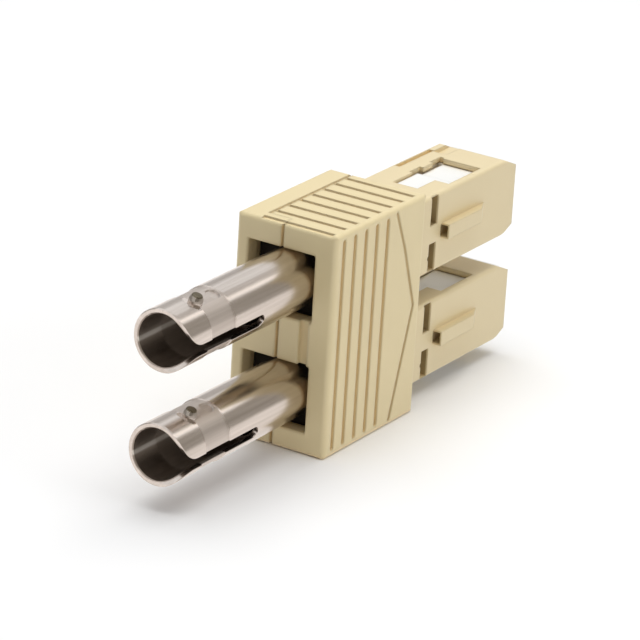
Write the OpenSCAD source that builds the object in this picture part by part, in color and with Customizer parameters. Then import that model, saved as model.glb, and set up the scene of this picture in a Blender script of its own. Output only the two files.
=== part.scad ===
/* [Housing] */
// Thickness of the two closed housing halves, side to side
housing_w = 12.6; // [11.6:0.1:15]
// Height of the housing, which also carries both channels
housing_h = 25.6; // [24.5:0.1:30]
// Length of the housing from the barrel face to the plug face
housing_l = 18.3; // [17.5:0.1:24]
// Distance between the upper and the lower channel
pitch = 12.7; // [12.2:0.1:13.5]
// Wall between the barrel face and the flange pockets
front_wall = 2; // [1.5:0.1:2.5]
// Rounding of every outer edge of the housing
edge_round = 0.5; // [0.3:0.1:1.1]
// Sideways place of the joint between the two halves
seam_x = -0.5; // [-1:0.1:1]
// Sideways place of the lap joint on the top and the bottom
lap_x = -3.3; // [-3.8:0.1:-2]
// Width of the moulded grooves
groove_w = 0.6; // [0.2:0.05:0.8]
// Depth of the grip grooves
groove_d = 0.45; // [0.1:0.05:0.5]
// Upright grip grooves on each side face
side_grooves = 5; // [2:1:6]
// Cross grooves on the top face
top_grooves = 8; // [2:1:8]
// Distance from one grip groove to the next
groove_pitch = 2.2; // [1.6:0.05:2.25]

/* [Barrel openings] */
// Reach of each opening to the left of the barrel's axis
opening_left = 4.8; // [4:0.1:5.2]
// Reach of each opening below the barrel's axis
opening_drop = 4; // [3.8:0.1:4.4]
// Clearance over the barrel and to its right
opening_gap = 0.2; // [0.15:0.05:0.4]
// Bevel round the openings
opening_bevel = 0.12; // [0.05:0.01:0.2]

/* [Barrels] */
// Length of each barrel outside the housing
barrel_out = 23; // [18:0.5:26]
// Outer radius of the barrel
barrel_r = 3.5; // [3.3:0.05:3.6]
// Inner radius of the barrel
bore_r = 2.9; // [2.7:0.02:3]
// Turn of the barrel round its own axis
barrel_turn = 16.5; // [0:0.5:45]
// Width of the key slot along the barrel
slot_w = 1.5; // [0.8:0.1:2]
// Length of the key slot from the mouth
slot_l = 14.2; // [8:0.2:17]
// Distance from the mouth to the bayonet lugs
lug_back = 4.5; // [2:0.1:8]
// Rounding of the slot's corners at the mouth
slot_corner = 2.8; // [0.5:0.1:3]
// Start of the shallow turned band, from the mouth
relief_from = 4.2; // [3:0.1:6]
// End of that band, from the mouth
relief_to = 8.6; // [7:0.1:11]
// Depth of that band
relief_d = 0.12; // [0.05:0.01:0.2]
// Radius of a bayonet lug
lug_r = 0.78; // [0.5:0.02:1.1]
// Height of a bayonet lug above the barrel
lug_h = 1; // [0.4:0.1:1.4]
// Depth of the milled pad round a lug
pad_d = 0.2; // [0.13:0.01:0.25]
// Side of the square head that holds the barrel in the housing
flange_w = 9.3; // [8.8:0.1:9.4]
// Thickness of that head
flange_t = 2; // [1:0.1:3]

/* [Plug end] */
// Thickness of a plug sleeve, side to side
sleeve_w = 9.1; // [8.8:0.1:9.5]
// Height of a plug sleeve
sleeve_h = 9.2; // [9:0.1:9.6]
// Length of a plug sleeve outside the housing
sleeve_out = 22.5; // [19:0.5:28]
// Wall of a plug sleeve
sleeve_wall = 0.6; // [0.5:0.05:0.7]
// Height of the key rib on a plug sleeve
key_h = 1; // [0.4:0.1:1.4]
// Width of the key rib
key_w = 1.7; // [1:0.1:3]
// Travel of the barrels and plug frames through the housing
core_travel = 1.5; // [0.5:0.1:1.6]
// Clearance between a plug frame and its sleeve
frame_gap = 0.1; // [0.1:0.05:0.3]

/* [Optical parts] */
// Radius of a ferrule
ferrule_r = 1.25; // [1.2:0.01:1.27]
// Radial running clearance of a ferrule in its split sleeve
ferrule_gap = 0.02; // [0.01:0.01:0.05]
// Wall of the split sleeve
split_wall = 0.35; // [0.2:0.05:0.4]
// Width of the gap along the split sleeve
split_gap = 0.5; // [0.2:0.1:0.9]
// Wire of the spring
wire_d = 0.4; // [0.2:0.05:0.5]
// Turns of the spring
spring_turns = 6; // [4:1:9]

/* [Hidden] */
$fn = 64;
over = 0.1;
seat_gap = 0.05;
part_gap = 0.3;
arc_ease = 0.01;
y_middle = (housing_l + sleeve_out - barrel_out) / 2;
z_middle = housing_h / 2;
z_upper = z_middle + pitch / 2;
z_lower = z_middle - pitch / 2;
y_end = housing_l + sleeve_out;
opening_top = barrel_r + opening_gap;
opening_right = barrel_r + opening_gap;

// Joint between the halves: width of its line, and the front end and thickness of the lap
seam_w = 0.4;
lap_y = 1.7;
lap_t = 1;

// Grip grooves: the first of each field, the step on the top, and how far they stop from an edge
side_first = 1.6;
top_first = 0.45;
top_pitch = groove_pitch + 0.1;
groove_stop = 0.7;

// Arrow line on a side face: places before the plug face, with the bend's height over the middle
arrow_w = 0.45;
arrow_top = 6.1;
arrow_bend = 4;
arrow_bend_z = 7.4;
arrow_tip = 1.5;
arrow_tip_z = 0.3;
arrow_foot = 5.1;

// Shallow moulded pocket on the bar between the openings
bar_pocket_x = 2.2;
bar_pocket_w = 1.2;
bar_pocket_d = 0.6;

// Places along the length, from the barrel face of the housing
flange_y = front_wall + part_gap;
flange_end = flange_y + flange_t;
head_web = 0.5;
tail_end = flange_end - head_web;
pocket_end = flange_end + core_travel + part_gap;
web_t = 3;
sleeve_y = pocket_end + web_t;
collar_t = 1.2;
seat_shoulder = sleeve_y + collar_t;
seat_neck_l = 5.4;
seat_end = seat_shoulder + seat_neck_l;
mouth_set = 0.5;
frame_end = y_end - mouth_set;
frame_mouth_l = 11.5;
frame_web_y = frame_end - frame_mouth_l;
frame_web_t = 1.2;
collar_end = frame_web_y - 2 * seat_gap;
collar_l = 2.5;
collar_y = collar_end - collar_l;
tip_set = 0.6;
ferrule_tip = frame_end - tip_set;
split_in = 15.8;
split_y = -barrel_out + split_in;
holder_lip = 0.6;
split_play = 0.2;
holder_y = split_y - holder_lip - split_play;
holder_end = flange_end + 4.2;
split_end = holder_end - split_play;
ferrule_y = (split_y + split_end) / 2;

// Sizes across, worked out from the driving ones
pocket_half = flange_w / 2 + 0.25;
opening_round = 0.3;
cavity_w = sleeve_w - 2 * sleeve_wall;
cavity_h = sleeve_h - 2 * sleeve_wall;
frame_w = cavity_w - 2 * frame_gap;
frame_h = cavity_h - 2 * frame_gap;
seat_r = min(frame_w, frame_h) / 2 - 0.1;
seat_hole_r = seat_r + 0.4;
seat_neck_r = 2.65;
seat_bore_r = ferrule_r + part_gap;
holder_r = bore_r - 0.35;
tail_r = barrel_r - 0.4;
split_r = ferrule_r + ferrule_gap + split_wall;
split_room = 0.1;
holder_hole_r = ferrule_r + 0.2;
funnel_w = 0.7;
funnel_l = 0.45;
chamber_r = 2.45;
frame_hole_r = ferrule_r + 0.35;
mouth_cavity_r = 2.5;
collar_r = 2.2;
collar_flats = 3.9;
spring_r = 1.9;
sleeve_rim = 0.45;
sleeve_corner = 0.5;
cavity_corner = 0.3;
frame_corner = 0.4;
head_corner = 1;
lead_in = 0.15;
rim_bevel = 0.12;
lug_bevel = 0.15;
lug_root = 0.2;
lug_pad_rim = 0.55;
pit_back = 3.2;

// Side pockets of a plug sleeve, sunk into hook blocks that stand in the neck of the plug frame
side_from = 4.15;
side_y = housing_l + side_from;
side_l = 1.45;
side_low = 1.05;
side_high = sleeve_h / 2 - 0.2;
hook_wall = 0.35;
hook_x = 3.25;
catch_in = 0.3;
catch_h = 0.4;
pin_r = 0.3;
pin_z = 2.7;
pin_in = 0.1;
neck_half = hook_x - 0.15;

// Window of a plug sleeve: a narrow part, then a wide one, with the frame's raised pad showing in it
window_from = 5.3;
window_narrow_l = 3.7;
window_l = 10.6;
window_y = housing_l + window_from;
window_step = window_y + window_narrow_l;
window_end = window_y + window_l;
window_left = -1.3;
window_right = 1.9;
window_wide = 3.7;
window_notch = 0.45;
notch_l = 2.3;
notch_first = 0.5;
notch_last = 2;
pad_gap = 0.15;
pad_end = window_step + 1.4;
pad_under = 0.3;
trench_w = 0.8;
trench_d = 1;

// Groove and pocket beside the window
rail_x = -3.75;
rail_w = 0.6;
rail_from = 10.2;
rail_y = housing_l + rail_from;
rail_l = 7.4;
rail_d = 0.45;
lip_from = 17.3;
lip_y = housing_l + lip_from;
lip_l = 4;
lip_x = -3.4;
lip_w = 1.8;

// Key rib: its ends, the slope at the far end, and the hollow at the near end
key_from = 6.6;
key_to = 13.7;
key_y = housing_l + key_from;
key_end = housing_l + key_to;
key_slope = 2;
key_wall = 0.18;
key_hollow = 2.5;
key_root = 0.3;

// Moves a channel's pieces to the height z of its axis, with the whole part centred along Y
module channel(z) {
    translate([0, -y_middle, z]) children();
}

// Round bar along Y
module rod(r, y0, y1) {
    translate([0, y0, 0]) rotate([-90, 0, 0]) cylinder(r = r, h = y1 - y0);
}

// Cone along Y
module taper(r0, r1, y0, y1) {
    translate([0, y0, 0]) rotate([-90, 0, 0]) cylinder(r1 = r0, r2 = r1, h = y1 - y0);
}

// A section drawn in X and Z, carried from y0 to y1
module along_y(y0, y1) {
    translate([0, y1, 0]) rotate([90, 0, 0]) linear_extrude(y1 - y0) children();
}

// A section drawn in Y and Z, carried from x0 to x1
module along_x(x0, x1) {
    translate([x0, 0, 0]) rotate([90, 0, 90]) linear_extrude(x1 - x0) children();
}

// A plain block between two corners
module block(a, b) {
    translate(a) cube(b - a);
}

// Rectangle from corner a to corner b with true arcs at its corners
module round_rect(a, b, r) {
    for (x = [a[0] + r, b[0] - r], y = [a[1] + r, b[1] - r]) translate([x, y]) circle(r);
    translate([a[0] + r, a[1]]) square([b[0] - a[0] - 2 * r, b[1] - a[1]]);
    translate([a[0], a[1] + r]) square([b[0] - a[0], b[1] - a[1] - 2 * r]);
}

// Centred rectangle with rounded corners
module round_box(w, h, r) {
    round_rect([-w / 2, -h / 2], [w / 2, h / 2], r);
}

// Housing with all its outer edges rounded, as one block
module housing_block() {
    intersection() {
        along_y(-over, housing_l + over)
            round_rect([-housing_w / 2, 0], [housing_w / 2, housing_h], edge_round);
        along_x(-housing_w / 2 - over, housing_w / 2 + over)
            round_rect([0, 0], [housing_l, housing_h], edge_round);
        translate([0, 0, -over]) linear_extrude(housing_h + 2 * over)
            round_rect([-housing_w / 2, 0], [housing_w / 2, housing_l], edge_round);
    }
}

// Bevel round an opening: two wedges, one narrowing sideways and one in height, cross each other
module opening_edge() {
    b = opening_bevel;
    intersection() {
        along_x(-opening_left - 1, opening_right + 1) polygon([
            [-over, -opening_drop - b - over], [b, -opening_drop],
            [b, opening_top], [-over, opening_top + b + over]]);
        translate([0, 0, -opening_drop - 1]) linear_extrude(opening_drop + opening_top + 2) polygon([
            [-opening_left - b - over, -over], [opening_right + b + over, -over],
            [opening_right, b], [-opening_left, b]]);
    }
}

// Spaces inside the housing for one channel
module channel_space() {
    along_y(-over, front_wall + over)
        round_rect([-opening_left, -opening_drop], [opening_right, opening_top], opening_round);
    opening_edge();
    along_y(front_wall, pocket_end) square(2 * pocket_half, center = true);
    rod(seat_hole_r, pocket_end - over, sleeve_y + over);
    along_y(sleeve_y, sleeve_y + collar_t)
        square([sleeve_w + 2 * sleeve_rim + 2 * seat_gap, sleeve_h + 2 * sleeve_rim + 2 * seat_gap], center = true);
    along_y(sleeve_y, housing_l + over) 
        round_box(sleeve_w + 2 * seat_gap, sleeve_h + 2 * seat_gap, sleeve_corner);
}

// Upright grip grooves with round ends, cut in the side face on one side (side is 1 or -1)
module side_grip(side) {
    for (i = [0:side_grooves - 1]) {
        y = side_first + i * groove_pitch;
        x = side * housing_w / 2;
        along_x(x - groove_d, x + groove_d)
            round_rect([y - groove_w / 2, groove_stop], [y + groove_w / 2, housing_h - groove_stop],
                       groove_w / 2 - arc_ease);
    }
}

// Arrow line that closes the grip field on a side face
module arrow_line(side) {
    x = side * housing_w / 2;
    points = [
        [housing_l - arrow_top, housing_h - groove_stop],
        [housing_l - arrow_bend, z_middle + arrow_bend_z],
        [housing_l - arrow_tip, z_middle + arrow_tip_z],
        [housing_l - arrow_foot, groove_stop]];
    along_x(x - groove_d / 2, x + groove_d / 2)
        for (i = [0:2]) line(points[i], points[i + 1], arrow_w);
}

// Straight line of width w between two points, with round ends
module line(a, b, w) {
    run = b - a;
    translate(a) circle(w / 2 - arc_ease);
    translate(b) circle(w / 2 - arc_ease);
    translate(a) rotate(atan2(run[1], run[0])) translate([0, -w / 2]) square([norm(run), w]);
}

// Cross grooves on the top and the bottom, from the lap joint to near the right edge
module cross_grip() {
    for (i = [0:top_grooves - 1], z = [0, housing_h]) {
        y = top_first + i * top_pitch;
        block([lap_x, y - groove_w / 2, z - groove_d / 2],
              [housing_w / 2 - groove_stop, y + groove_w / 2, z + groove_d / 2]);
    }
}

// Half of the space that the right half takes: past the seam, and over the laps at the top and bottom
module right_side() {
    block([seam_x, -over, -over], [housing_w, housing_l + over, housing_h + over]);
    for (z = [-over, housing_h - lap_t])
        block([lap_x, lap_y, z], [seam_x + over, housing_l + over, z + lap_t + over]);
}

// Fine line left between the halves on the outside
module seam_line() {
    for (y = [-over, housing_l - seam_w])
        block([seam_x - seam_w / 2, y, -over], [seam_x + seam_w / 2, y + seam_w + over, housing_h + over]);
    for (z = [-over, housing_h - seam_w / 2])
        block([lap_x - seam_w / 2, lap_y, z], [lap_x + seam_w / 2, housing_l + over, z + seam_w / 2 + over]);
}

// Shallow moulded pocket on the bar, open to both openings
module bar_pocket() {
    block([bar_pocket_x, -over, z_lower + opening_top - over],
          [bar_pocket_x + bar_pocket_w, bar_pocket_d, z_upper - opening_drop + over]);
}

// Everything cut from the housing
module housing_cuts() {
    for (z = [z_upper, z_lower]) translate([0, 0, z]) channel_space();
    for (side = [-1, 1]) {
        side_grip(side);
        arrow_line(side);
    }
    cross_grip();
    seam_line();
    bar_pocket();
}

module housing_left() {
    color("wheat") channel(0) difference() {
        housing_block();
        right_side();
        housing_cuts();
    }
}

module housing_right() {
    color("wheat") channel(0) intersection() {
        difference() {
            housing_block();
            housing_cuts();
        }
        right_side();
    }
}

// Bayonet barrel of turned metal: key slot, relief behind the front collar, lugs on milled pads
module barrel() {
    mouth = -barrel_out;
    color("silver") difference() {
        union() {
            difference() {
                union() {
                    rod(barrel_r, mouth + rim_bevel, flange_y);
                    taper(barrel_r - rim_bevel, barrel_r, mouth, mouth + rim_bevel);
                }
                relief(mouth);
                rotate([0, barrel_turn, 0]) for (s = [0, 180]) rotate([0, s, 0]) lug_pad(mouth + lug_back);
            }
            rod(tail_r, flange_y - over, tail_end);
            rotate([0, barrel_turn, 0]) for (s = [0, 180]) rotate([0, s, 0]) lug(mouth + lug_back);
        }
        rod(bore_r, mouth - over, holder_y);
        rod(holder_r + seat_gap, holder_y - over, flange_end + over);
        taper(bore_r + lead_in, bore_r - over, mouth - arc_ease, mouth + lead_in + over);
        rotate([0, barrel_turn, 0]) key_slot(mouth);
    }
}

// Shallow turned band behind the front collar
module relief(mouth) {
    difference() {
        rod(barrel_r + 1, mouth + relief_from, mouth + relief_to);
        rod(barrel_r - relief_d, mouth + relief_from - over, mouth + relief_to + over);
    }
}

// Round bayonet lug standing on the barrel at y
module lug(y) {
    foot = bore_r + lug_root;
    translate([0, y, foot]) cylinder(r = lug_r, h = barrel_r + lug_h - foot - lug_bevel);
    translate([0, y, barrel_r + lug_h - lug_bevel]) cylinder(r1 = lug_r, r2 = lug_r - lug_bevel, h = lug_bevel);
}

// Milled pad round a lug, with the cutter's round pit behind it
module lug_pad(y) {
    translate([0, y, barrel_r - pad_d]) cylinder(r = lug_r + lug_pad_rim, h = lug_h + over);
    translate([0, y + pit_back, barrel_r - pad_d - relief_d]) cylinder(r = lug_r, h = lug_h + over);
}

// Slot along the barrel at its right side, with a round end and rounded corners at the mouth
module key_slot(mouth) {
    half = slot_w / 2;
    end = mouth + slot_l - half;
    wide = half + slot_corner;
    rotate([0, 90, 0]) linear_extrude(barrel_r + 1) {
        translate([-half, mouth - over]) square([slot_w, end - mouth + over]);
        translate([0, end]) circle(half);
        difference() {
            translate([-wide, mouth - over]) square([2 * wide, slot_corner + over]);
            for (s = [-1, 1]) translate([s * wide, mouth + slot_corner]) circle(slot_corner);
        }
    }
}

// Tube that holds the split sleeve in the barrel
module sleeve_holder() {
    color("whitesmoke") difference() {
        rod(holder_r, holder_y, holder_end);
        rod(split_r + split_room, split_y - split_play, holder_end + over);
        rod(holder_hole_r, holder_y - over, split_y);
        taper(holder_hole_r + funnel_w, holder_hole_r, holder_y - arc_ease, holder_y + funnel_l);
    }
}

// Sprung sleeve that lines up the two ferrules
module split_sleeve() {
    color("white") difference() {
        rod(split_r, split_y, split_end);
        rod(ferrule_r + ferrule_gap, split_y - over, split_end + over);
        block([-split_gap / 2, split_y - over, 0], [split_gap / 2, split_end + over, split_r + 1]);
    }
}

// Body between the barrel and the plug frame: its square head is caught in the housing, and the
// spring pushes against its neck
module spring_seat() {
    color("dimgray") difference() {
        union() {
            along_y(flange_y, flange_end) round_box(flange_w, flange_w, head_corner);
            rod(seat_r, flange_end - over, seat_shoulder);
            rod(seat_neck_r, seat_shoulder - over, seat_end);
        }
        rod(tail_r + seat_gap, flange_y - over, tail_end);
        rod(holder_r + seat_gap, tail_end - over, holder_end);
        rod(seat_bore_r, holder_end - over, seat_end + over);
    }
}

// Point number i of the spring's centre line, with ring points round it
function coil_ring(i, per_turn, y0, rise) = let (
    a = 360 * i / per_turn,
    c = [spring_r * cos(a), y0 + rise * i / per_turn, spring_r * sin(a)],
    out = [cos(a), 0, sin(a)])
    [for (k = [0:5]) c + wire_d / 2 * (cos(60 * k) * out + sin(60 * k) * [0, 1, 0])];

// Wound wire, a ring of six points carried along a helix
module spring() {
    per_turn = 14;
    y0 = seat_end + wire_d / 2 + seat_gap;
    y1 = collar_y - wire_d / 2 - seat_gap;
    n = spring_turns * per_turn;
    rise = (y1 - y0) / spring_turns;
    rings = [for (i = [0:n]) coil_ring(i, per_turn, y0, rise)];
    points = [for (ring = rings) each ring];
    sides = [for (i = [0:n - 1], k = [0:5]) let (j = (k + 1) % 6)
        [6 * i + k, 6 * i + j, 6 * (i + 1) + j, 6 * (i + 1) + k]];
    color("lightgray") polyhedron(
        points = points,
        faces = concat([[5, 4, 3, 2, 1, 0]], sides, [[for (k = [0:5]) 6 * n + k]]));
}

// Metal collar pressed on the ferrule, with four flats that stop it turning
module ferrule_collar() {
    color("silver") difference() {
        intersection() {
            rod(collar_r, collar_y, collar_end);
            along_y(collar_y - over, collar_end + over) square(collar_flats, center = true);
        }
        rod(ferrule_r, collar_y - over, collar_end + over);
    }
}

// Ceramic ferrule with tapered ends
module ferrule() {
    tip = 0.25;
    color("ivory") {
        rod(ferrule_r, ferrule_y + tip, ferrule_tip - tip);
        taper(ferrule_r - tip, ferrule_r, ferrule_y, ferrule_y + tip);
        taper(ferrule_r, ferrule_r - tip, ferrule_tip - tip, ferrule_tip);
    }
}

// White inner plug body: square outside, bored for the seat, the spring and the mating sleeve
module plug_frame() {
    neck_y = side_y - hook_wall - core_travel - pad_gap;
    neck_end = side_y + side_l + hook_wall + pad_gap;
    color("white") difference() {
        union() {
            along_y(seat_shoulder, frame_end) round_box(frame_w, frame_h, frame_corner);
            for (s = [0, 1]) mirror([0, 0, s]) window_pad();
        }
        rod(seat_neck_r, seat_shoulder - over, seat_end);
        rod(chamber_r, seat_end - over, frame_web_y);
        rod(frame_hole_r, frame_web_y - over, frame_end);
        rod(mouth_cavity_r, frame_web_y + frame_web_t, frame_end + over);
        for (s = [0, 1]) {
            mirror([s, 0, 0]) block([neck_half, neck_y, -frame_h], [frame_w, neck_end, frame_h]);
            mirror([0, 0, s]) window_trench();
        }
    }
}

// Raised pad that shows in the window and moves with the frame
module window_pad() {
    top = sleeve_h / 2 - pad_under;
    foot = frame_h / 2 - over;
    block([window_left + pad_gap, window_y + pad_gap, foot], [window_right - pad_gap, pad_end, top]);
    block([window_left + pad_gap, window_step + pad_gap, foot], [window_wide - pad_gap, pad_end, top]);
}

// Trench in the frame under the window's left edge
module window_trench() {
    x = window_left + pad_gap;
    block([x - trench_w, window_y, frame_h / 2 - trench_d], [x, window_end, frame_h]);
}

// Outer plug sleeve with its key rib, windows, side pockets and chamfered mouth
module plug_sleeve() {
    color("wheat") difference() {
        union() {
            difference() {
                union() {
                    sleeve_shell();
                    along_y(sleeve_y, sleeve_y + collar_t)
                        square([sleeve_w + 2 * sleeve_rim, sleeve_h + 2 * sleeve_rim], center = true);
                    key_rib();
                }
                along_y(sleeve_y - over, y_end + over) round_box(cavity_w, cavity_h, cavity_corner);
            }
            hook_blocks();
        }
        for (s = [0, 1]) mirror([0, 0, s]) {
            window();
            rail_cuts();
            side_pockets();
        }
        key_core();
        pin_hole();
    }
}

// Outside of the sleeve: its top and bottom slope in at the mouth
module sleeve_shell() {
    slope_l = 2.4;
    slope_h = 1.05;
    h = sleeve_h / 2;
    intersection() {
        along_y(sleeve_y, y_end) round_box(sleeve_w, sleeve_h, sleeve_corner);
        along_x(-sleeve_w, sleeve_w) polygon([
            [sleeve_y, -h], [y_end - slope_l, -h], [y_end, -h + slope_h],
            [y_end, h - slope_h], [y_end - slope_l, h], [sleeve_y, h]]);
    }
}

// Key rib on the right face, with a sloped far end
module key_rib() {
    x = sleeve_w / 2;
    translate([0, 0, -key_w / 2]) linear_extrude(key_w) polygon([
        [x - key_root, key_y], [x + key_h, key_y], [x + key_h, key_end],
        [x, key_end + key_slope], [x - key_root, key_end + key_slope]]);
}

// Hollow in the near end of the key rib
module key_core() {
    x = sleeve_w / 2;
    block([x - key_root, key_y - over, key_wall - key_w / 2],
          [x + key_h - key_wall, key_y + key_hollow, key_w / 2 - key_wall]);
}

// Blocks inside both side walls that catch the plug frame by its neck
module hook_blocks() {
    for (sx = [0, 1], sz = [0, 1]) mirror([sx, 0, 0]) mirror([0, 0, sz])
        block([hook_x, side_y - hook_wall, side_low - hook_wall],
              [sleeve_w / 2 - over, side_y + side_l + hook_wall, cavity_h / 2 + over]);
}

// Narrow then wide opening of the window, with two notches in its left edge
module window() {
    block([window_left, window_y, 0], [window_right, window_step + over, sleeve_h]);
    block([window_left, window_step, 0], [window_wide, window_end, sleeve_h]);
    for (y = [window_step + notch_first, window_end - notch_last])
        block([window_left - window_notch, y, 0], [window_left + over, y + notch_l, sleeve_h]);
}

// Groove, and a pocket open to the mouth's slope, beside the window
module rail_cuts() {
    floor_z = sleeve_h / 2 - rail_d;
    block([rail_x - rail_w / 2, rail_y, floor_z], [rail_x + rail_w / 2, rail_y + rail_l, sleeve_h]);
    block([lip_x, lip_y, floor_z], [lip_x + lip_w, lip_y + lip_l, sleeve_h]);
}

// Blind pockets in both side walls, above and below the key, each with an open corner at its low end
module side_pockets() {
    for (s = [0, 1]) mirror([s, 0, 0]) {
        block([hook_x + hook_wall, side_y, side_low], [sleeve_w, side_y + side_l, side_high]);
        block([hook_x - over, side_y + catch_in, side_low],
              [sleeve_w, side_y + side_l - catch_in, side_low + catch_h]);
    }
}

// Round hole at the edge of the right lower pocket
module pin_hole() {
    translate([hook_x - over, side_y + pin_in, -pin_z]) rotate([0, 90, 0]) cylinder(r = pin_r, h = sleeve_w);
}

module upper_barrel() { channel(z_upper) barrel(); }
module lower_barrel() { channel(z_lower) barrel(); }
module upper_sleeve_holder() { channel(z_upper) sleeve_holder(); }
module lower_sleeve_holder() { channel(z_lower) sleeve_holder(); }
module upper_split_sleeve() { channel(z_upper) split_sleeve(); }
module lower_split_sleeve() { channel(z_lower) split_sleeve(); }
module upper_spring_seat() { channel(z_upper) spring_seat(); }
module lower_spring_seat() { channel(z_lower) spring_seat(); }
module upper_spring() { channel(z_upper) spring(); }
module lower_spring() { channel(z_lower) spring(); }
module upper_ferrule_collar() { channel(z_upper) ferrule_collar(); }
module lower_ferrule_collar() { channel(z_lower) ferrule_collar(); }
module upper_ferrule() { channel(z_upper) ferrule(); }
module lower_ferrule() { channel(z_lower) ferrule(); }
module upper_plug_frame() { channel(z_upper) plug_frame(); }
module lower_plug_frame() { channel(z_lower) plug_frame(); }
module upper_plug_sleeve() { channel(z_upper) plug_sleeve(); }
module lower_plug_sleeve() { channel(z_lower) plug_sleeve(); }

housing_left();
housing_right();
upper_barrel();
lower_barrel();
upper_sleeve_holder();
lower_sleeve_holder();
upper_split_sleeve();
lower_split_sleeve();
upper_spring_seat();
lower_spring_seat();
upper_spring();
lower_spring();
upper_ferrule_collar();
lower_ferrule_collar();
upper_ferrule();
lower_ferrule();
upper_plug_frame();
lower_plug_frame();
upper_plug_sleeve();
lower_plug_sleeve();
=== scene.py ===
"""Looks of a duplex fibre adapter: plated bayonet barrels, a ribbed beige housing, square plugs."""
import math

import bmesh
import bpy
import numpy as np
from mathutils import Matrix, Vector


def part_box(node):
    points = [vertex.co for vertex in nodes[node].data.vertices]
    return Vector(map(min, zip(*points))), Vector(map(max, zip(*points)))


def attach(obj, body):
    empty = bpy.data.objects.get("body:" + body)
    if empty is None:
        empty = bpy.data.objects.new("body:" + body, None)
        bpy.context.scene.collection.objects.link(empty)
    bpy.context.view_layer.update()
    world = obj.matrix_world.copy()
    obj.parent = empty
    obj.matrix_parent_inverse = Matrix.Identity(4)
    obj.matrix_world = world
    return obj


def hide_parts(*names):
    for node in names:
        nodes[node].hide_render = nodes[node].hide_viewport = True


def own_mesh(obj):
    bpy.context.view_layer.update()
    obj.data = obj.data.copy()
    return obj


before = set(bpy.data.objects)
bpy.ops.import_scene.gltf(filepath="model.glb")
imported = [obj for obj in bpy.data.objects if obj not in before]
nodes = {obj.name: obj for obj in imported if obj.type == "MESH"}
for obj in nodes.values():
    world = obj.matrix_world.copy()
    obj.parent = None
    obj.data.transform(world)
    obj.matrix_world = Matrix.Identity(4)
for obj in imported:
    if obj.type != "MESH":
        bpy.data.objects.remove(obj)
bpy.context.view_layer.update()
MM = 0.001

# Where the view stands, fitted to the edges of the photograph's object
VIEW_TURN = math.radians(31.408)
VIEW_RISE = math.radians(21.162)
VIEW_ROLL = math.radians(3.564)
VIEW_DEPTH = 6 * MM
VIEW_DISTANCE = 477.646 * MM
VIEW_SHIFT_RIGHT = -0.987 * MM
VIEW_SHIFT_UP = -0.084 * MM
FOCAL_PIXELS = 4416.258
PICTURE_PIXELS = 640
SENSOR = 36.0

housing_low, housing_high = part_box("housing_right")
FRONT_Y = housing_low.y
HOUSING_TOP = housing_high.z
MIDDLE_Z = HOUSING_TOP / 2
CHANNEL_RISE = 6.35 * MM

# Sizes of a barrel in mm, measured from its mouth, as the frame has them
BARREL_R = 3.5
BORE_R = 2.9
TAIL_R = 3.1
HOLDER_BORE_R = 2.6
BARREL_TURN = math.radians(16.5)
RIM_BEVEL = 0.12
LEAD_IN = 0.15
RELIEF_FROM = 4.2
RELIEF_TO = 8.6
RELIEF_DEPTH = 0.12
RELIEF_RAMP = 0.12
SLOT_HALF = 0.75
SLOT_LENGTH = 14.2
SLOT_CORNER = 2.8
LUG_BACK = 4.5
LUG_R = 0.78
LUG_TOP = 4.25
LUG_FACE = 0.52
PAD_R = LUG_R + 0.55
PAD_HEIGHT = BARREL_R - 0.2
PIT_BACK = 3.2
PIT_HEIGHT = PAD_HEIGHT - RELIEF_DEPTH
BORE_END = 15.0
SHOULDER = 25.3
EDGE_SOFT = 0.07

# Sizes of a spring in mm
SPRING_TURNS = 6
SPRING_EASE = 0.3
WIRE_R = 0.2
WIRE_SIDES = 12
STEPS_A_TURN = 30


def make_camera():
    """Camera looking down its own -Z at a point behind the housing's front face, rolled a little."""
    target = Vector((0, FRONT_Y + VIEW_DEPTH, MIDDLE_Z))
    back = Vector((
        math.sin(VIEW_TURN) * math.cos(VIEW_RISE),
        -math.cos(VIEW_TURN) * math.cos(VIEW_RISE),
        math.sin(VIEW_RISE)))
    level = Vector((math.cos(VIEW_TURN), math.sin(VIEW_TURN), 0))
    upright = back.cross(level)
    right = level * math.cos(VIEW_ROLL) + upright * math.sin(VIEW_ROLL)
    up = upright * math.cos(VIEW_ROLL) - level * math.sin(VIEW_ROLL)
    place = target + back * VIEW_DISTANCE - right * VIEW_SHIFT_RIGHT - up * VIEW_SHIFT_UP
    data = bpy.data.cameras.new("view")
    data.sensor_width = SENSOR
    data.lens = SENSOR * FOCAL_PIXELS / PICTURE_PIXELS
    data.clip_start = 0.01
    data.clip_end = 20
    camera = bpy.data.objects.new("view", data)
    camera.matrix_world = Matrix((
        (right.x, up.x, back.x, place.x),
        (right.y, up.y, back.y, place.y),
        (right.z, up.z, back.z, place.z),
        (0, 0, 0, 1)))
    bpy.context.scene.collection.objects.link(camera)
    bpy.context.scene.camera = camera


class Wire:
    """A node's output that can be added, multiplied and compared as a number."""

    def __init__(self, look, socket):
        self.look = look
        self.socket = socket

    def _with(self, kind, other, flip=False):
        pair = (other, self) if flip else (self, other)
        return self.look.node("ShaderNodeMath", {"operation": kind}, {0: pair[0], 1: pair[1]})

    def __add__(self, other):
        return self._with("ADD", other)

    def __radd__(self, other):
        return self._with("ADD", other, True)

    def __sub__(self, other):
        return self._with("SUBTRACT", other)

    def __rsub__(self, other):
        return self._with("SUBTRACT", other, True)

    def __mul__(self, other):
        return self._with("MULTIPLY", other)

    def __rmul__(self, other):
        return self._with("MULTIPLY", other, True)

    def __gt__(self, other):
        return self._with("GREATER_THAN", other)

    def __lt__(self, other):
        return self._with("LESS_THAN", other)


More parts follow.
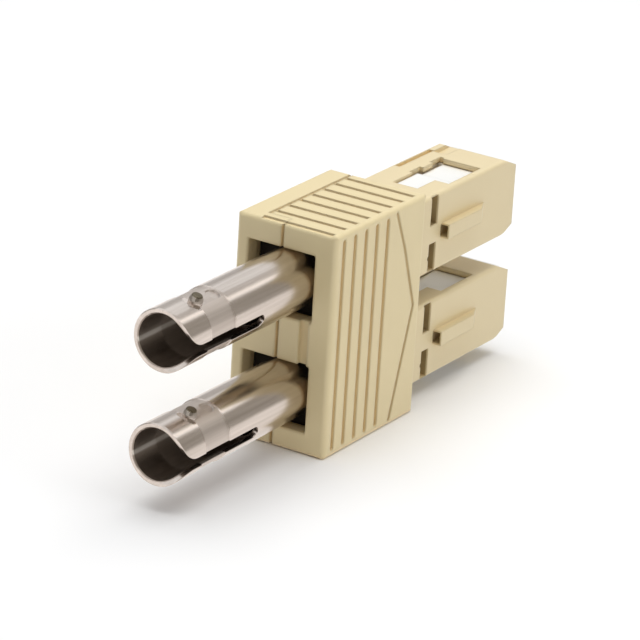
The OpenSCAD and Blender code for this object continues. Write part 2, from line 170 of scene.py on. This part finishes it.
class Look:
    """The node tree of a material or a world, with one method that adds any node."""

    def __init__(self, owner):
        owner.use_nodes = True
        self.material = owner
        self.tree = owner.node_tree
        self.shader = self.tree.nodes.get("Principled BSDF")

    def node(self, kind, settings=None, inputs=None, output=0):
        """Adds a node, sets its options first, then its sockets from values or wires."""
        made = self.tree.nodes.new(kind)
        for key, value in (settings or {}).items():
            setattr(made, key, value)
        for key, value in (inputs or {}).items():
            self.plug(made.inputs[key], value)
        return Wire(self, made.outputs[output])

    def plug(self, socket, value):
        """Links a wire to a socket, or writes a value there."""
        if isinstance(value, Wire):
            self.tree.links.new(value.socket, socket)
        else:
            socket.default_value = value

    def place(self):
        """The piece's own coordinates, in metres."""
        return self.node("ShaderNodeTexCoord", output="Object")

    def stretched(self, scale):
        """The piece's coordinates times a scale on each axis, for streaks."""
        return self.node("ShaderNodeMapping", {}, {"Vector": self.place(), "Scale": scale})

    def noise(self, vector, scale, detail):
        """Cloudy numbers from 0 to 1, with a number of waves to a metre."""
        return self.node("ShaderNodeTexNoise", {}, {"Vector": vector, "Scale": scale, "Detail": detail})

    def blend(self, amount, low, high):
        """The low colour at 0, the high one at 1."""
        return self.node("ShaderNodeMix", {"data_type": "RGBA"}, {
            "Factor": amount, 6: low, 7: high}, output=2)

    def bump(self, height, depth, strength, over=None):
        """Bump of a height in metres, on the surface's own normal or over another one."""
        inputs = {"Height": height, "Distance": depth, "Strength": strength}
        if over:
            inputs["Normal"] = over
        return self.node("ShaderNodeBump", {}, inputs)

    def eased(self, radius):
        """Normal of the surface with its edges eased to a radius."""
        return self.node("ShaderNodeBevel", {"samples": 8}, {"Radius": radius})

    def glow(self, colour, strength):
        """Light that the surface gives off."""
        return self.node("ShaderNodeEmission", {}, {"Color": colour, "Strength": strength})

    def ray(self, kind):
        """1 for one kind of light ray, such as Is Camera Ray."""
        return self.node("ShaderNodeLightPath", output=kind)

    def close(self, surface):
        """Ends the tree with a surface in place of the plain one."""
        ends = [node for node in self.tree.nodes if node.bl_idname.startswith("ShaderNodeOutput")]
        self.plug(ends[0].inputs["Surface"], surface)
        return self.material

    def split(self, vector, axis):
        """One coordinate of a vector."""
        return self.node("ShaderNodeSeparateXYZ", {}, {0: vector}, output=axis)

    def attribute(self, name):
        """A number stored on the piece's points."""
        return self.node("ShaderNodeAttribute", {"attribute_name": name}, output="Fac")

    def openness(self, reach):
        """1 on open surface and less in grooves and corners nearer than reach."""
        near = self.node("ShaderNodeAmbientOcclusion", {"samples": 8}, {"Distance": reach}, output="AO")
        return self.node("ShaderNodeMapRange", {}, {"Value": near, "From Min": 0.25, "From Max": 0.85})

    def away(self, value, middle):
        """How far value is from the middle, either way."""
        return self.node("ShaderNodeMath", {"operation": "ABSOLUTE"}, {0: value - middle})

    def between(self, value, low, high, soft):
        """1 where value lies from low to high, with soft steps at both ends."""
        rise = self.step(value, low, soft)
        return rise * (1 - self.step(value, high, soft))

    def step(self, value, at, soft):
        """0 below a place and 1 above it, soft over a width on both sides."""
        return self.node("ShaderNodeMapRange", {"interpolation_type": "SMOOTHSTEP"}, {
            "Value": value, "From Min": at - soft, "From Max": at + soft})

    def set(self, **sockets):
        """Fills sockets of the plain shader by their names."""
        for key, value in sockets.items():
            self.plug(self.shader.inputs[key.replace("_", " ")], value)


def rgba(red, green, blue):
    """An opaque colour."""
    return (red, green, blue, 1.0)


def new_look(name):
    """A new material's node tree."""
    return Look(bpy.data.materials.new(name))


WHITE_LIGHT = rgba(1.0, 1.0, 1.0)

# Waves to a metre of the noises, and how deep their bumps are
CLOUD = 260
MOULD_GRAIN = 5200
MOULD_DEPTH = 0.012 * MM
TURNED_RINGS = 9000
RING_DEPTH = 0.004 * MM
STAIN = 420
STREAK = 2600
WIDE_STREAK = 700
TUBE_GRAIN = 9000
STREAK_DEPTH = 0.003 * MM

# Painted highlight lines in a barrel's bore, in degrees round from the key slot: from, to and how soft
BORE_HIGHLIGHT_LINE = (148, 158, 3)
FAINT_BORE_HIGHLIGHT_LINE = (214, 222, 2)

# Side pockets of a plug sleeve, where a dark shade is painted: where they lie across, along, and from their
# channel's axis
POCKET_X = (3.3 * MM, 4.35 * MM)
POCKET_Y = (13.5 * MM, 15.05 * MM)
POCKET_RISE = 4.3 * MM


def in_side_pockets(look):
    """Mask of the painted shade in a plug sleeve's side pockets: 1 on their walls and floors, which sit
    deeper than its side faces and lower than its top and bottom ones."""
    across = look.away(look.split(look.place(), 0), 0)
    along = look.split(look.place(), 1)
    rise = look.away(look.away(look.split(look.place(), 2), MIDDLE_Z), CHANNEL_RISE)
    deep = (across > POCKET_X[0]) * (across < POCKET_X[1]) * (rise < POCKET_RISE)
    return deep * (along > POCKET_Y[0]) * (along < POCKET_Y[1])


def moulded_plastic(name, colour, shade, roughness, painted_groove_shade=None, gloss=0.5, pockets=None, ease=0.3 * MM):
    """Moulded plastic: soft cloudy colour, the fine sparked grain of the mould, edges eased to a small
    radius, a painted warm shade in grooves and corners where a colour for it is given, and a painted dark
    shade in side pockets."""
    look = new_look(name)
    cloud = look.noise(look.place(), CLOUD, 3)
    grain = look.noise(look.place(), MOULD_GRAIN, 2)
    body = look.blend(cloud, shade, colour)
    if painted_groove_shade:
        # Painted shade: the given warm colour takes over where occlusion finds grooves and corners.
        body = look.blend(look.openness(GROOVE_SHADE_REACH), painted_groove_shade, body)
    if pockets:
        # Painted shade: a dark brown laid patchily over the side pockets' walls and floors.
        body = look.blend(in_side_pockets(look) * (0.35 + cloud * 0.6), body, pockets)
    look.set(
        Base_Color=body,
        Roughness=grain * 0.12 + (roughness - 0.06),
        Normal=look.bump(grain, MOULD_DEPTH, 0.6, over=look.eased(ease)))
    look.shader.inputs["IOR"].default_value = 1.5
    look.shader.inputs["Specular IOR Level"].default_value = gloss
    return look.material


def plated_metal(name, colour, shade, roughness):
    """Nickel plating on turned metal: fine rings round Y, soft stains."""
    look = new_look(name)
    rings = look.noise(look.stretched((0.05, 1.0, 0.05)), TURNED_RINGS, 2)
    stain = look.noise(look.place(), STAIN, 4)
    look.set(
        Base_Color=look.blend(stain, shade, colour),
        Metallic=1.0,
        Roughness=stain * 0.14 + (roughness - 0.07),
        Normal=look.bump(rings, RING_DEPTH, 0.5))
    return look.material


def barrel_plating(name):
    """Drawn and plated tube: streaks along its length, partly drawing marks and partly painted reflection
    streaks in its colour, a satin turned band behind the front collar, painted shade in the bore with two
    painted highlight lines, and painted dark reflections on the lugs' tops with painted shade on their
    sides. Outside the band and the bore its roughness stays under 0.27: where it crossed that, what it
    mirrors was broken into dashes."""
    look = new_look(name)
    along = look.attribute("along")
    rise = look.attribute("rise")
    streak = look.noise(look.stretched((1.0, 0.03, 1.0)), STREAK, 3)
    wide_streak = look.noise(look.stretched((1.0, 0.02, 1.0)), WIDE_STREAK, 2)
    grain = look.noise(look.place(), TUBE_GRAIN, 2)
    satin = look.between(along, RELIEF_FROM, RELIEF_TO, 0.1)
    bore = 1 - look.step(rise, BORE_R + 0.12, 0.06)
    top = look.step(rise, LUG_TOP - 0.08, 0.03)
    # Colour streaks along the tube: partly drawing marks, partly painted reflection streaks.
    plate_marks_and_painted_streaks = look.blend(streak * 0.5 + wide_streak * 0.5, rgba(0.42, 0.365, 0.32), rgba(0.88, 0.81, 0.76))
    turn = look.attribute("turn")
    painted_bore_highlight = look.between(turn, *BORE_HIGHLIGHT_LINE) + 0.5 * look.between(turn, *FAINT_BORE_HIGHLIGHT_LINE)
    # Painted shade in the bore, darker than the plating outside, with two painted highlight lines along it.
    inside = look.blend(streak, rgba(0.30, 0.25, 0.21), rgba(0.42, 0.36, 0.31))
    inside = look.blend(painted_bore_highlight, inside, rgba(0.75, 0.71, 0.65))
    side = look.step(rise, BARREL_R + 0.12, 0.03)
    # Painted reflection and shade on the lugs: dark tops, and sides darker than the plating.
    lug = look.blend(top, rgba(0.36, 0.32, 0.28), rgba(0.17, 0.145, 0.10))
    look.set(
        Base_Color=look.blend(bore, look.blend(side, plate_marks_and_painted_streaks, lug), inside),
        Metallic=1.0,
        Roughness=0.18 + streak * 0.08 + satin * 0.24 + bore * 0.22,
        Normal=look.bump(streak * 0.2 + grain * 0.5, STREAK_DEPTH, 0.4))
    return look.material


# Painted shade in grooves: how far occlusion looks, and the warm colour laid where the surface is closed in.
GROOVE_SHADE_REACH = 1.1 * MM
PAINTED_GROOVE_SHADE_COLOUR = rgba(0.80, 0.62, 0.33)
BEIGE = moulded_plastic(
    "beige_plastic", rgba(0.73, 0.615, 0.365), rgba(0.695, 0.58, 0.34), 0.42, painted_groove_shade=PAINTED_GROOVE_SHADE_COLOUR,
    ease=0.5 * MM)
# The sleeves take the painted warm groove shade and a painted dark shade in their side pockets.
SLEEVE_BEIGE = moulded_plastic(
    "sleeve_plastic", rgba(0.72, 0.605, 0.375), rgba(0.69, 0.575, 0.35), 0.40, painted_groove_shade=PAINTED_GROOVE_SHADE_COLOUR,
    pockets=rgba(0.20, 0.13, 0.045))
# The white frames take a painted warm shade in their gaps and grooves.
WHITE = moulded_plastic(
    "white_plastic", rgba(0.86, 0.86, 0.84), rgba(0.82, 0.82, 0.80), 0.3, painted_groove_shade=rgba(0.66, 0.56, 0.40))
DARK = moulded_plastic(
    "holder_plastic", rgba(0.016, 0.013, 0.010), rgba(0.011, 0.009, 0.007), 0.6, gloss=0.06)
NICKEL = barrel_plating("plated_barrel")
STEEL = plated_metal("spring_steel", rgba(0.60, 0.60, 0.61), rgba(0.52, 0.52, 0.54), 0.3)
CERAMIC = moulded_plastic("ceramic", rgba(0.84, 0.83, 0.78), rgba(0.80, 0.79, 0.74), 0.15)

FINISHES = {
    "housing": BEIGE, "barrel": NICKEL, "sleeve_holder": DARK, "split_sleeve": CERAMIC,
    "spring_seat": DARK, "spring": STEEL, "ferrule_collar": STEEL, "ferrule": CERAMIC,
    "plug_frame": WHITE, "plug_sleeve": SLEEVE_BEIGE}


# How fine the barrels' mesh is: points round, rows along, what is merged, and edges kept sharp
BARREL_COLUMNS = 220
LUG_COLUMNS = 40
CORNER_ROWS = 22
SLOT_ROWS = 9
SLOT_END_ROWS = 12
TAIL_ROWS = 12
ROW_STEP = 0.07
EDGE_SHARE = 0.3
WELD = 0.004 * MM
SMOOTH_TO = 30


def barrel_rows(length):
    """Distances from the mouth of the barrel's rows, in mm, closer where the form changes."""
    corner = SLOT_CORNER * (1 - np.cos(np.linspace(0, math.pi / 2, CORNER_ROWS)))
    slot_end = SLOT_LENGTH - SLOT_HALF + SLOT_HALF * np.sin(np.linspace(0, math.pi / 2, SLOT_END_ROWS))
    rows = np.concatenate([
        corner, [0.06, RIM_BEVEL, LEAD_IN],
        np.arange(LUG_BACK - PAD_R - 0.1, LUG_BACK + PAD_R + 0.1, ROW_STEP),
        np.arange(LUG_BACK + PIT_BACK - LUG_R - 0.1, LUG_BACK + PIT_BACK + LUG_R + 0.1, ROW_STEP),
        [RELIEF_FROM, RELIEF_FROM + RELIEF_RAMP, RELIEF_TO, RELIEF_TO + RELIEF_RAMP],
        np.linspace(RELIEF_TO + 0.4, SLOT_LENGTH - SLOT_HALF, SLOT_ROWS), slot_end,
        [SLOT_LENGTH + 0.3, BORE_END, BORE_END],
        np.linspace(BORE_END + 0.5, SHOULDER, TAIL_ROWS), [SHOULDER, length]])
    return np.sort(np.where(rows < 1e-6, 0, rows))


def slot_reach(y):
    """Half width of the key slot at y: the straight half width, wider by a quarter circle's sagitta at the
    mouth, and the half chord of its round end."""
    mouth = SLOT_HALF + SLOT_CORNER - np.sqrt(np.clip(SLOT_CORNER ** 2 - (SLOT_CORNER - y) ** 2, 0, None))
    centre = SLOT_LENGTH - SLOT_HALF
    end = np.sqrt(np.clip(SLOT_HALF ** 2 - (y - centre) ** 2, 0, None))
    return np.where(y < SLOT_CORNER, mouth, np.where(y < centre, SLOT_HALF, end))


def pressed(radius, angle, y):
    """Radius of the outside after the pads round the lugs and the pits behind them: a flat at height h over
    the axis has the radius h / cos(angle from the lug), inside a circle round the lug's own axis."""
    for lug in (BARREL_TURN, BARREL_TURN + math.pi):
        off = np.angle(np.exp(1j * (angle - lug)))
        side = radius * np.sin(off)
        near = np.abs(off) < 1
        flat = 1 / np.where(near, np.cos(off), 1)
        pad = near & (side ** 2 + (y - LUG_BACK) ** 2 < PAD_R ** 2)
        pit = near & (side ** 2 + (y - LUG_BACK - PIT_BACK) ** 2 < LUG_R ** 2)
        radius = np.where(pad, np.minimum(radius, PAD_HEIGHT * flat), radius)
        radius = np.where(pit, np.minimum(radius, PIT_HEIGHT * flat), radius)
    return radius


def barrel_points(length, columns):
    """Points of the barrel as rows of closed sections: the outside from one side of the slot round to the
    other, the soft edge and wall of the slot, the bore back, and the other wall."""
    y = barrel_rows(length)
    late = np.concatenate([[False], y[1:] == y[:-1]])
    outer = np.interp(y, [0, RIM_BEVEL], [BARREL_R - RIM_BEVEL, BARREL_R])
    outer = outer - RELIEF_DEPTH * np.interp(
        y, [RELIEF_FROM, RELIEF_FROM + RELIEF_RAMP, RELIEF_TO, RELIEF_TO + RELIEF_RAMP], [0, 1, 1, 0])
    outer = np.where((y > SHOULDER) | ((y == SHOULDER) & late), TAIL_R, outer)
    inner = np.interp(y, [0, LEAD_IN], [BORE_R + LEAD_IN, BORE_R])
    inner = np.where((y > BORE_END) | ((y == BORE_END) & late), HOLDER_BORE_R, inner)
    reach = slot_reach(y)
    soft = np.minimum(EDGE_SOFT, reach * 0.5)
    around = np.linspace(0, 1, columns)[None, :]
    slot_angle = BARREL_TURN + math.pi / 2

    def sheet(radius, inset):
        edge = np.arcsin(np.clip(reach / radius, 0, 0.9999)) + inset / radius
        return slot_angle + edge[:, None] + (2 * math.pi - 2 * edge[:, None]) * around

    outside = sheet(outer, soft)
    bore = sheet(inner, soft)[:, ::-1]
    wall_out = sheet(outer, 0 * soft)
    wall_in = sheet(inner, 0 * soft)
    edge = soft * EDGE_SHARE
    depth = np.stack([outer - edge, outer - soft, inner + soft, inner + edge], 1)
    far = np.stack([
        wall_out[:, -1] - edge / outer, wall_out[:, -1], wall_in[:, -1], wall_in[:, -1] - edge / inner], 1)
    near = np.stack([
        wall_in[:, 0] + edge / inner, wall_in[:, 0], wall_out[:, 0], wall_out[:, 0] + edge / outer], 1)
    body = np.broadcast_to(outer[:, None], outside.shape)
    body = pressed(body, outside, y[:, None])
    angle = np.concatenate([outside, far, bore, near], 1)
    radius = np.concatenate([body, depth, np.broadcast_to(inner[:, None], bore.shape), depth[:, ::-1]], 1)
    along = np.broadcast_to(y[:, None], radius.shape)
    return np.stack([radius * np.sin(angle), along, radius * np.cos(angle)], 2), reach


def barrel_faces(rows, columns, reach):
    """Quads between neighbouring rows, without the walls where the slot is closed, and both end rings."""
    around = 2 * columns + 8
    column = np.arange(around)
    follow = (column + 1) % around
    wall = ((column >= columns - 1) & (column < columns + 4)) | (column >= 2 * columns + 3)
    quads = []
    for row in range(rows - 1):
        open_here = reach[row] > 1e-6 or reach[row + 1] > 1e-6
        pick = column if open_here else column[~wall]
        a = row * around + pick
        b = row * around + follow[pick]
        quads.append(np.stack([a, b, b + around, a + around], 1))
    strip = np.arange(columns - 1)
    back = 2 * columns + 3 - strip
    mouth = np.stack([strip, back, back - 1, strip + 1], 1)
    last = (rows - 1) * around
    end = last + np.stack([strip, strip + 1, back - 1, back], 1)
    first, near = columns - 1, 2 * columns + 3
    corners = np.array([
        [first, first + 5, first + 4, first + 1], [first + 1, first + 4, first + 3, first + 2],
        [near, 0, near + 4, near + 1], [near + 1, near + 4, near + 3, near + 2]])
    return np.concatenate(quads + [mouth, end, corners])


def lathe_lug(turn):
    """Round lug on its own axis: a profile of radius and height turned once, capped by its top."""
    profile = np.array([
        [LUG_R, BORE_R + 0.25], [LUG_R, BARREL_R + 0.22], [LUG_R - 0.03, BARREL_R + 0.3],
        [LUG_FACE + 0.05, LUG_TOP - 0.05], [LUG_FACE, LUG_TOP], [LUG_FACE * 0.8, LUG_TOP + 0.01],
        [0, LUG_TOP + 0.01]])
    count = LUG_COLUMNS
    spin = np.linspace(0, 2 * math.pi, count, endpoint=False)
    side = profile[:, :1] * np.cos(spin)
    along = LUG_BACK + profile[:, :1] * np.sin(spin)
    height = np.broadcast_to(profile[:, 1:], side.shape)
    x = side * math.cos(turn) + height * math.sin(turn)
    z = height * math.cos(turn) - side * math.sin(turn)
    points = np.stack([x, along, z], 2).reshape(-1, 3)
    ring = np.arange(count)
    quads = [np.stack([
        row * count + ring, row * count + (ring + 1) % count,
        (row + 1) * count + (ring + 1) % count, (row + 1) * count + ring], 1)
        for row in range(len(profile) - 1)]
    return points, np.concatenate(quads)


def add_piece(name, mesh):
    """An object for a mesh whose points are already in place."""
    piece = bpy.data.objects.new(name, mesh)
    bpy.context.scene.collection.objects.link(piece)
    return piece


def finish_mesh(name, points, faces):
    """Mesh from points in metres: doubles merged, flat faces dropped, smooth but for edges over an angle."""
    mesh = bpy.data.meshes.new(name)
    mesh.from_pydata(points.tolist(), [], faces.tolist())
    form = bmesh.new()
    form.from_mesh(mesh)
    bmesh.ops.remove_doubles(form, verts=form.verts, dist=WELD)
    bmesh.ops.dissolve_degenerate(form, edges=form.edges, dist=WELD)
    loose = [vert for vert in form.verts if not vert.link_faces]
    bmesh.ops.delete(form, geom=loose, context="VERTS")
    form.to_mesh(mesh)
    form.free()
    mesh.polygons.foreach_set("use_smooth", np.ones(len(mesh.polygons), bool))
    mesh.set_sharp_from_angle(angle=math.radians(SMOOTH_TO))
    return add_piece(name, mesh)


def make_barrel(channel):
    """Turned barrel with rolled slot edges, milled pads, pits and lugs, in place of the frame's own."""
    low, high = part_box(channel + "_barrel")
    points, reach = barrel_points((high.y - low.y) / MM, BARREL_COLUMNS)
    faces = [barrel_faces(len(points), BARREL_COLUMNS, reach)]
    parts = [points.reshape(-1, 3)]
    for turn in (BARREL_TURN, BARREL_TURN + math.pi):
        lug, quads = lathe_lug(turn)
        faces.append(quads + sum(len(part) for part in parts))
        parts.append(lug)
    middle = np.array([(low.x + high.x) / 2, low.y, (low.z + high.z) / 2])
    points = np.concatenate(parts) * MM + middle
    piece = finish_mesh(channel + "_plated_barrel", points, np.concatenate(faces))
    rise = np.zeros(len(piece.data.vertices) * 3)
    piece.data.vertices.foreach_get("co", rise)
    rise = rise.reshape(-1, 3) - middle
    turn = np.degrees(np.arctan2(rise[:, 0], rise[:, 2])) - math.degrees(BARREL_TURN) - 90
    for label, value in (
            ("along", rise[:, 1] / MM),
            ("rise", np.hypot(rise[:, 0], rise[:, 2]) / MM),
            ("turn", turn % 360)):
        store = piece.data.attributes.new(label, "FLOAT", "POINT")
        store.data.foreach_set("value", value.astype(np.float32))
    dress(piece, NICKEL)
    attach(piece, channel + "_core")
    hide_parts(channel + "_barrel")


def make_spring(channel):
    """Wound spring in place of the frame's own: a ring of wire points carried along a helix, whose rise is
    its share of the turns less a sine of that share, so both end turns lie close."""
    low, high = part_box(channel + "_spring")
    around = WIRE_SIDES
    steps = STEPS_A_TURN * SPRING_TURNS
    spin = np.linspace(0, 2 * math.pi * SPRING_TURNS, steps + 1)[:, None]
    ring = np.linspace(0, 2 * math.pi, around, endpoint=False)[None, :]
    share = spin / spin.max()
    length = (high.y - low.y) / MM
    rise = share - SPRING_EASE * np.sin(2 * math.pi * share) / (2 * math.pi)
    reach = (high.x - low.x) / MM / 2 - WIRE_R + WIRE_R * np.cos(ring)
    height = WIRE_R + (length - 2 * WIRE_R) * rise + WIRE_R * np.sin(ring)
    points = np.stack([reach * np.cos(spin), height, reach * np.sin(spin)], 2)
    middle = np.array([(low.x + high.x) / 2, low.y, (low.z + high.z) / 2])
    column = np.arange(around)
    start = around * np.arange(steps)[:, None]
    follow = (column + 1) % around
    quads = np.stack(np.broadcast_arrays(
        start + column, start + follow, start + follow + around, start + column + around), 2)
    faces = quads.reshape(-1, 4).tolist() + [column[::-1].tolist(), (column + around * steps).tolist()]
    mesh = bpy.data.meshes.new(channel + "_wound_spring")
    mesh.from_pydata((points.reshape(-1, 3) * MM + middle).tolist(), [], faces)
    mesh.polygons.foreach_set("use_smooth", np.arange(len(faces)) < around * steps)
    piece = add_piece(channel + "_wound_spring", mesh)
    dress(piece, STEEL)
    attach(piece, channel + "_core")
    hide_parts(channel + "_spring")
    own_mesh(piece)


def dress(piece, finish):
    """Puts one finish in every slot of a piece."""
    if not piece.material_slots:
        piece.data.materials.append(finish)
    for slot in piece.material_slots:
        slot.material = finish


def dress_nodes():
    """Gives each of the frame's nodes its finish, by the part of its name behind the channel's."""
    for name, piece in nodes.items():
        part = "housing" if name.startswith("housing") else name.split("_", 1)[1]
        dress(piece, FINISHES[part])


def stage_sheet(name, points, faces, finish):
    """A sheet of the studio that isn't part of the object."""
    mesh = bpy.data.meshes.new(name)
    mesh.from_pydata(points, [], faces)
    sheet = add_piece(name, mesh)
    dress(sheet, finish)
    return sheet


def table_paper():
    """Pale matt paper, which metal sees as the white surround, and plain white far from the object."""
    look = new_look("table_paper")
    look.set(Base_Color=rgba(0.88, 0.88, 0.88), Roughness=0.9)
    look.shader.inputs["Specular IOR Level"].default_value = 0.0
    paper = Wire(look, look.shader.outputs[0])
    white = look.glow(rgba(1.0, 0.95, 0.91), PAPER_GLOW)
    mirrored = look.ray("Is Glossy Ray") * PAPER_SHARE
    near = look.node("ShaderNodeMixShader", {}, {0: mirrored, 1: paper, 2: white})
    distance = look.node("ShaderNodeVectorMath", {"operation": "LENGTH"}, {0: look.place()}, output="Value")
    far = look.step(distance, PAPER_FADE, PAPER_FADE * 0.6) * look.ray("Is Camera Ray")
    plain = look.glow(WHITE_LIGHT, 1.0)
    return look.close(look.node("ShaderNodeMixShader", {}, {0: far, 1: near, 2: plain}))


def make_floor():
    """Wide pale table under the object."""
    half = TABLE_HALF
    corners = [(-half, -half, 0), (half, -half, 0), (half, half, 0), (-half, half, 0)]
    stage_sheet("table", corners, [(0, 1, 2, 3)], table_paper())


def make_cards():
    """Long studio cards beside the barrels' line, seen only in gloss: each is a strip along Y that spans an
    arc of angles from straight up towards +X, at one distance from the object."""
    for name, start, stop, colour, strength in CARDS:
        angle = np.radians(np.linspace(start, stop, CARD_POINTS))
        x = CARD_DISTANCE * np.sin(angle)
        z = MIDDLE_Z + CARD_DISTANCE * np.cos(angle)
        points = [(px, y, pz) for px, pz in zip(x, z) for y in (-CARD_REACH, CARD_REACH)]
        faces = [(2 * i, 2 * i + 1, 2 * i + 3, 2 * i + 2) for i in range(len(angle) - 1)]
        look = new_look(name)
        card = stage_sheet(name, points, faces, look.close(look.glow(colour, strength)))
        card.visible_camera = False
        card.visible_diffuse = False
        card.visible_shadow = False
        card.visible_transmission = False


def make_world(level):
    """Soft light from all round at a level, and plain white for the camera, gloss and clear pieces."""
    world = bpy.data.worlds.new("studio")
    bpy.context.scene.world = world
    look = Look(world)
    light = look.node("ShaderNodeBackground", {}, {"Color": WHITE_LIGHT, "Strength": level})
    white = look.node("ShaderNodeBackground", {}, {"Color": WHITE_LIGHT, "Strength": 1.0})
    seen = look.ray("Is Camera Ray") + look.ray("Is Glossy Ray") + look.ray("Is Transmission Ray")
    look.close(look.node("ShaderNodeMixShader", {}, {0: seen, 1: light, 2: white}))


def make_lamp(name, place, size, power):
    """Square soft lamp at a place in metres, turned to the object's middle."""
    data = bpy.data.lights.new(name, "AREA")
    data.size = size
    data.energy = power
    lamp = bpy.data.objects.new(name, data)
    lamp.location = place
    aim = Vector((0, 0, MIDDLE_Z)) - Vector(place)
    lamp.rotation_euler = aim.to_track_quat("-Z", "Y").to_euler()
    lamp.visible_glossy = False
    bpy.context.scene.collection.objects.link(lamp)


# Studio: light from all round, the table's paper, lamps (place, size, power) and the cards that metal
# mirrors (degrees from and to, colour, strength)
WORLD_LEVEL = 0.37
PAPER_GLOW = 1.1
PAPER_SHARE = 0.85
PAPER_FADE = 0.25
TABLE_HALF = 1.5
LAMPS = (
    ("key", (-0.04, 0.05, 0.50), 0.50, 2.5),
    ("side", (0.45, 0.05, 0.20), 0.30, 0.5))
CARD_DISTANCE = 0.6
CARD_REACH = 1.2
CARD_POINTS = 7
CARDS = (
    ("left_card", -88, -50, rgba(1.0, 0.97, 0.94), 0.55),
    ("overhead_gap_card", -3, 19, rgba(1.0, 0.96, 0.91), 0.60),
    ("strip_card", 20, 32, rgba(1.0, 0.97, 0.94), 1.7),
    ("dark_card", 35, 98, rgba(1.0, 0.93, 0.83), 0.39))


def make_lights():
    """Even light all round, a broad lamp overhead and a weaker one from the grooved side."""
    make_world(WORLD_LEVEL)
    for name, place, size, power in LAMPS:
        make_lamp(name, place, size, power)


make_camera()
dress_nodes()
for channel in ("upper", "lower"):
    make_barrel(channel)
    make_spring(channel)
make_floor()
make_cards()
make_lights()
bpy.context.scene.view_settings.view_transform = "Standard"
